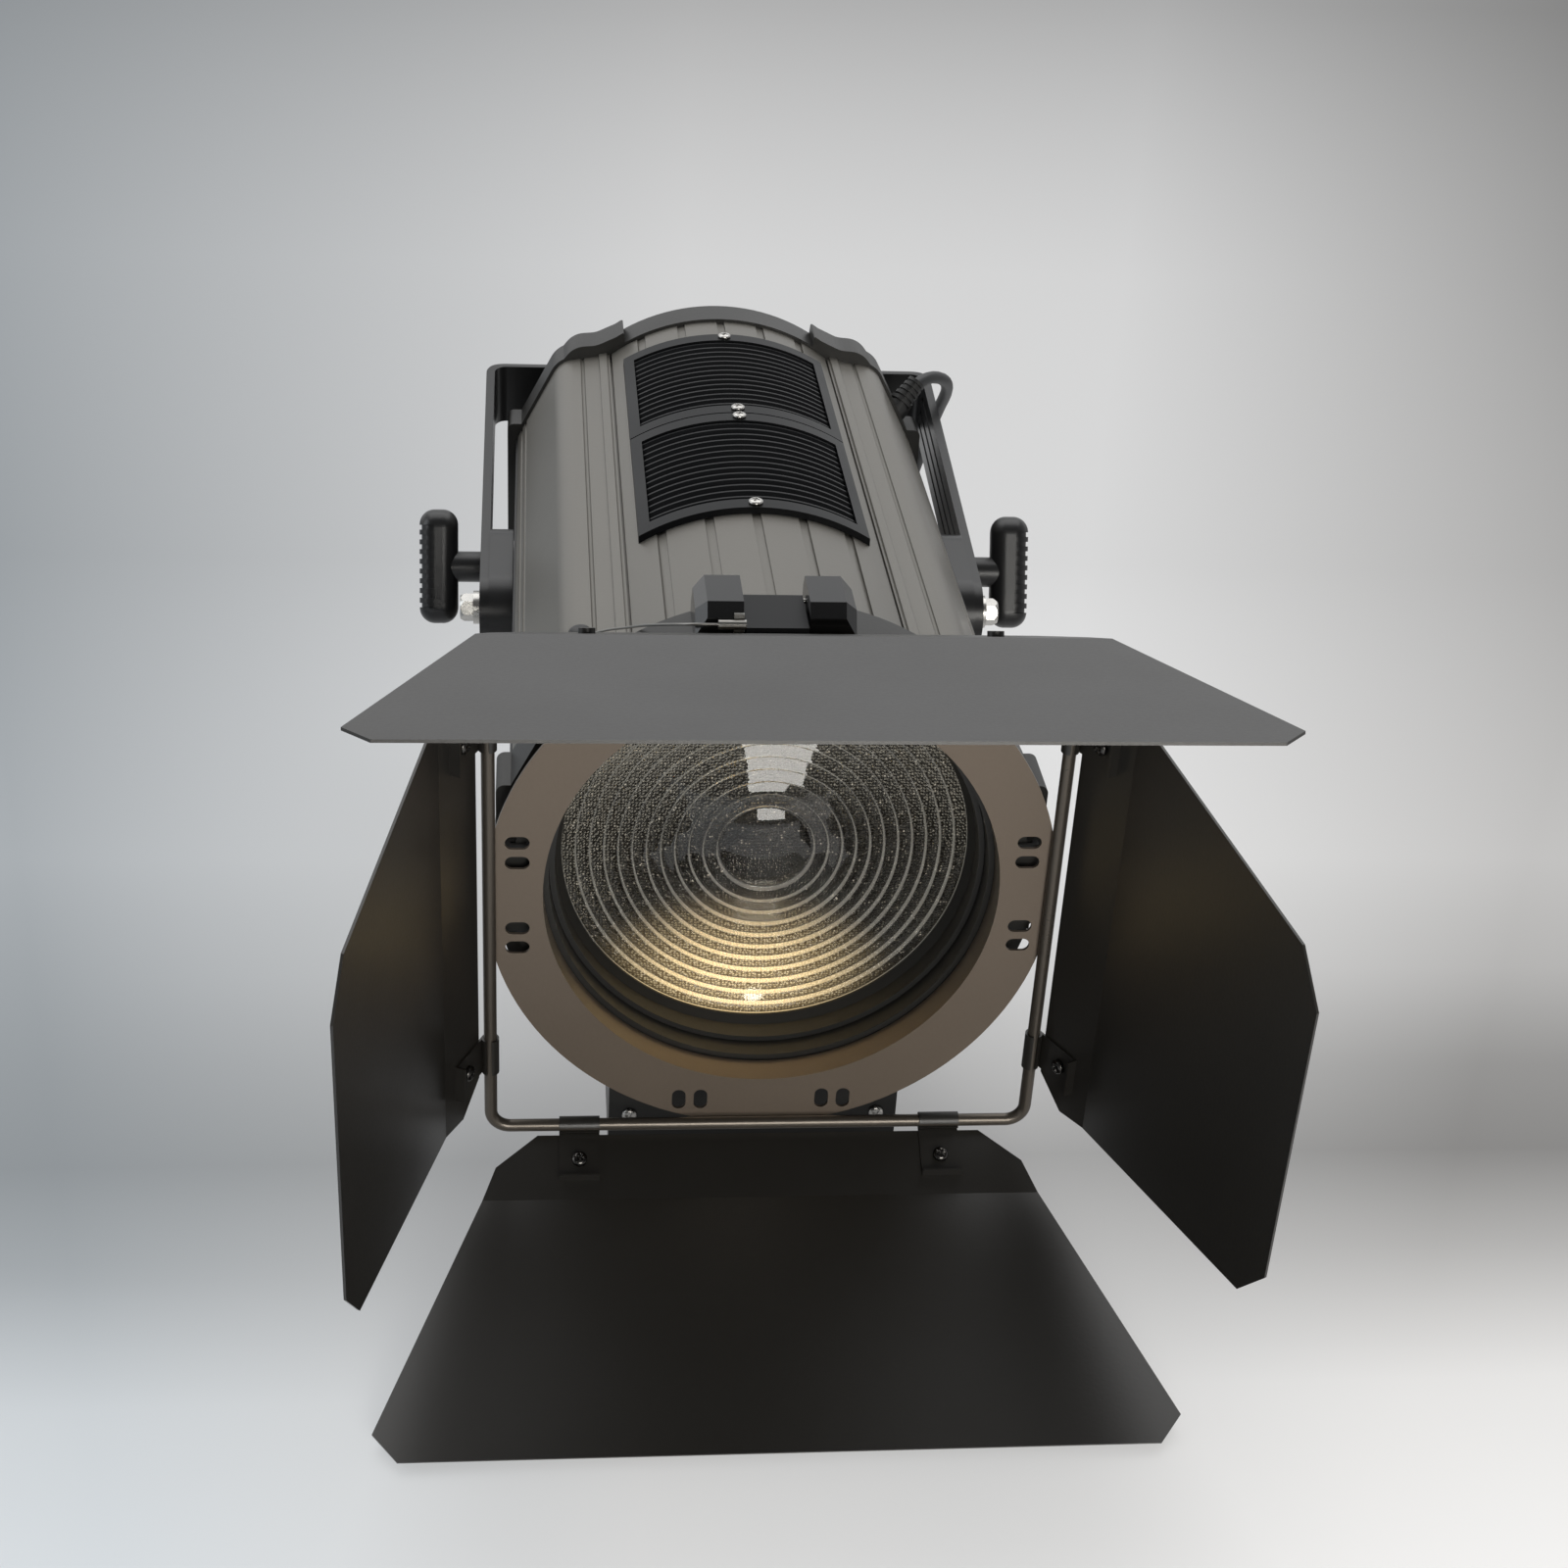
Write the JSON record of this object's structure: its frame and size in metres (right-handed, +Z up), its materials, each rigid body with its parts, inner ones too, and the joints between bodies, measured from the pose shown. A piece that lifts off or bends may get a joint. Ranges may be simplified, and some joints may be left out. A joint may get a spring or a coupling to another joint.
{
  "type": "led fresnel spotlight",
  "caption": "LED stage spotlight with a round fresnel lens, a rotating barn door with folding leaves, a tilting yoke with clamp handles and a motor zoom in a louvred housing.",
  "frame": {"origin": "on the underside of the base pad, straight below the yoke's pivot", "axes": "+Y from the lens to the rear along the beam axis, +X to the right seen from the front, +Z up"},
  "size_m": [0.3717, 0.844, 0.3539],
  "materials": {
    "body_paint": "satin bronze-grey powder coat",
    "cap_paint": "satin charcoal powder coat",
    "strip_plastic": "matt black",
    "vent_plastic": "satin black",
    "screw_steel": "zinc plated",
    "lens_glass": "clear pressed glass, stippled behind",
    "bezel_metal": "satin black",
    "ring_paint": "satin black",
    "rod_paint": "satin black",
    "leaf_paint": "satin black",
    "wire_steel": "bare stranded wire",
    "yoke_paint": "satin black",
    "hub_plastic": "black moulded",
    "pad_rubber": "matt",
    "supply_aluminium": "mill finish",
    "rod_steel": "ground",
    "board": "board with a yellow light source",
    "button_plastic": "moulded",
    "cord_rubber": "grey-black jacket"
  },
  "bodies": {
    "housing": {"top_cover": "body_paint", "side_cover_left": "body_paint", "side_cover_right": "body_paint", "bottom_tray": "body_paint", "driver_box": "body_paint", "rear_panel": "body_paint", "front_cap": "cap_paint", "rear_cap": "cap_paint", "catch_blocks": "cap_paint", "edge_strips": "strip_plastic", "fan_frame": "strip_plastic", "data_sockets": "strip_plastic", "wire_anchor": "strip_plastic", "cable_gland": "strip_plastic", "cord_plug": "strip_plastic", "vent_grille_front": "vent_plastic", "vent_grille_rear": "vent_plastic", "vent_screws": "screw_steel", "driver_box_screws": "screw_steel", "catch_pin": "screw_steel", "lens": "lens_glass", "lens_bezel": "bezel_metal", "holder_plate": "bezel_metal", "holder_brackets": "bezel_metal", "safety_wire": "wire_steel", "pivot_bosses": "hub_plastic", "base_pad": "pad_rubber", "power_supply": "supply_aluminium", "bulkhead": "supply_aluminium", "guide_rods": "rod_steel", "zoom_motor": "rod_steel", "display_board": "board", "power_cord": "cord_rubber", "cord_coil": "cord_rubber"},
    "catch": {"catch_plate": "bezel_metal"},
    "fan": {"fan_rotor": "strip_plastic"},
    "carriage": {"carriage_plate": "supply_aluminium", "heat_sink": "supply_aluminium", "led_board": "board"},
    "spindle": {"lead_screw": "rod_steel"},
    "barn_door": {"ring_plate": "ring_paint", "wire_frame": "rod_paint"},
    "flap_top": {"leaf_top": "leaf_paint", "leaf_top_clips": "leaf_paint"},
    "flap_bottom": {"leaf_bottom": "leaf_paint", "leaf_bottom_clips": "leaf_paint"},
    "flap_left": {"leaf_left": "leaf_paint", "leaf_left_clips": "leaf_paint"},
    "flap_right": {"leaf_right": "leaf_paint", "leaf_right_clips": "leaf_paint"},
    "bow": {"yoke": "yoke_paint", "yoke_hubs": "hub_plastic", "yoke_bolts": "screw_steel"},
    "handle_left": {"t_handle_left": "hub_plastic"},
    "handle_right": {"t_handle_right": "hub_plastic"},
    "key_1": {"button_1": "button_plastic"},
    "key_2": {"button_2": "button_plastic"},
    "key_3": {"button_3": "button_plastic"},
    "key_4": {"button_4": "button_plastic"}
  },
  "joints": [
    {"name": "yoke_tilt", "type": "hinge", "parent": "housing", "child": "bow", "pos_m": [0, 0, 0.1913], "axis": [1, 0, 0], "range_deg": [-28, 126], "deforming": ["power_cord"]},
    {"name": "left_handle_turn", "type": "hinge", "parent": "housing", "child": "handle_left", "pos_m": [0, 0, 0.1913], "axis": [-1, 0, 0], "range_deg": [0, 180]},
    {"name": "right_handle_turn", "type": "hinge", "parent": "housing", "child": "handle_right", "pos_m": [0, 0, 0.1913], "axis": [1, 0, 0], "range_deg": [0, 180]},
    {"name": "barn_door_turn", "type": "hinge", "parent": "housing", "child": "barn_door", "pos_m": [0, -0.318, 0.179], "axis": [0, 1, 0], "continuous": true},
    {"name": "top_leaf_fold", "type": "hinge", "parent": "barn_door", "child": "flap_top", "pos_m": [0, -0.3202, 0.30654], "axis": [1, 0, 0], "range_deg": [-70, 20]},
    {"name": "bottom_leaf_fold", "type": "hinge", "parent": "barn_door", "child": "flap_bottom", "pos_m": [0, -0.3202, 0.05146], "axis": [1, 0, 0], "range_deg": [-20, 70]},
    {"name": "left_leaf_fold", "type": "hinge", "parent": "barn_door", "child": "flap_left", "pos_m": [-0.12754, -0.3202, 0.179], "axis": [0, 0, 1], "range_deg": [-70, 98]},
    {"name": "right_leaf_fold", "type": "hinge", "parent": "barn_door", "child": "flap_right", "pos_m": [0.12754, -0.3202, 0.179], "axis": [0, 0, 1], "range_deg": [-98, 70]},
    {"name": "catch_lift", "type": "hinge", "parent": "housing", "child": "catch", "pos_m": [-0.004, -0.28, 0.3082], "axis": [-1, 0, 0], "range_deg": [0, 70]},
    {"name": "zoom_slide", "type": "slide", "parent": "housing", "child": "carriage", "axis": [0, 1, 0], "range_m": [-0.045, 0.015]},
    {"name": "lead_screw_turn", "type": "hinge", "parent": "housing", "child": "spindle", "pos_m": [0, -0.256, 0.0915], "axis": [0, 1, 0], "range_deg": [-811, 271]},
    {"name": "fan_spin", "type": "hinge", "parent": "housing", "child": "fan", "pos_m": [0, 0.128, 0.201], "axis": [0, 1, 0], "continuous": true},
    {"name": "key_1_press", "type": "slide", "parent": "housing", "child": "key_1", "axis": [0, -1, 0], "range_m": [0, 0.0015], "stiffness_N_per_m": 400},
    {"name": "key_2_press", "type": "slide", "parent": "housing", "child": "key_2", "axis": [0, -1, 0], "range_m": [0, 0.0015], "stiffness_N_per_m": 400},
    {"name": "key_3_press", "type": "slide", "parent": "housing", "child": "key_3", "axis": [0, -1, 0], "range_m": [0, 0.0015], "stiffness_N_per_m": 400},
    {"name": "key_4_press", "type": "slide", "parent": "housing", "child": "key_4", "axis": [0, -1, 0], "range_m": [0, 0.0015], "stiffness_N_per_m": 400}
  ],
  "couplings": [
    {"joint": "lead_screw_turn", "follows": "zoom_slide", "rad_per_m": 314.16}
  ]
}
